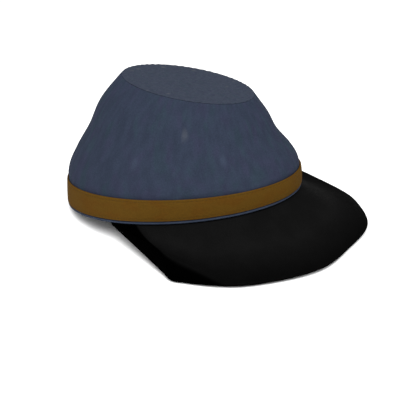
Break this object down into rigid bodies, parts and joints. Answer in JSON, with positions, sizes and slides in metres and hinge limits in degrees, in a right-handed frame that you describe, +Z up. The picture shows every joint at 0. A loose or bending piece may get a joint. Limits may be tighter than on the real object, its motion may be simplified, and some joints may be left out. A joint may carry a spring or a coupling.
{
  "type": "soft wool cap with a flat top and a leather peak",
  "caption": "Low soft wool cap that tapers to a flat oval top, with a cloth band and a broad leather peak rolled down at its sides.",
  "frame": {"origin": "on the surface the cap rests on, under the middle of its whole length and width", "axes": "+Z up, -Y to the front (the peak), +Y to the back, -X to the wearer's right"},
  "size_m": [0.2226, 0.2536, 0.1123],
  "materials": {
    "wool": "matt fulled wool, blue-grey with faint streaks",
    "top_wool": "matt fulled wool, slightly paler",
    "band_cloth": "plain matt cloth, golden brown",
    "leather": "smooth black leather, low sheen"
  },
  "bodies": {
    "root": {"crown_side": "wool", "crown_top": "top_wool", "band": "band_cloth", "peak": "leather"}
  },
  "joints": []
}
